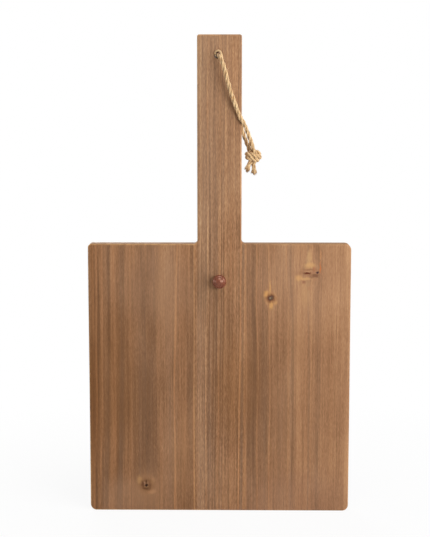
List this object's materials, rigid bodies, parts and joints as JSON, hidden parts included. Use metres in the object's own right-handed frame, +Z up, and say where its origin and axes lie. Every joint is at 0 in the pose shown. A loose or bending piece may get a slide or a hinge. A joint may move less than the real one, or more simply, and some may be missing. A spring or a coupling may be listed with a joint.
{
  "type": "paddle charcuterie board",
  "caption": "Upright wooden paddle board of edge-glued planks with a long flat handle, a turned peg on its front face and a knotted jute loop through the handle.",
  "frame": {"origin": "middle of the centre stave's foot, at the bottom of the board and at mid-thickness", "axes": "+Z up along the handle, -Y out of the front face that carries the peg, +X to the right seen from the front"},
  "size_m": [0.305, 0.0486, 0.557],
  "materials": {
    "board_wood": "stained and brushed softwood, matt oil",
    "dowel_wood": "bare beech",
    "peg_wood": "red-brown gloss lacquer",
    "jute": "twisted natural jute"
  },
  "bodies": {
    "board": {"left_plank": "board_wood", "centre_stave": "board_wood", "right_plank": "board_wood", "left_seam_dowels": "dowel_wood", "right_seam_dowels": "dowel_wood", "hanging_peg": "peg_wood"},
    "cord_loop": {"hang_cord": "jute", "cord_knot": "jute", "cord_tails": "jute"}
  },
  "joints": [
    {"name": "loop_swing", "type": "hinge", "parent": "board", "child": "cord_loop", "pos_m": [-0.0015, 0, 0.534], "axis": [0, -1, 0], "range_deg": [0, 320]}
  ]
}
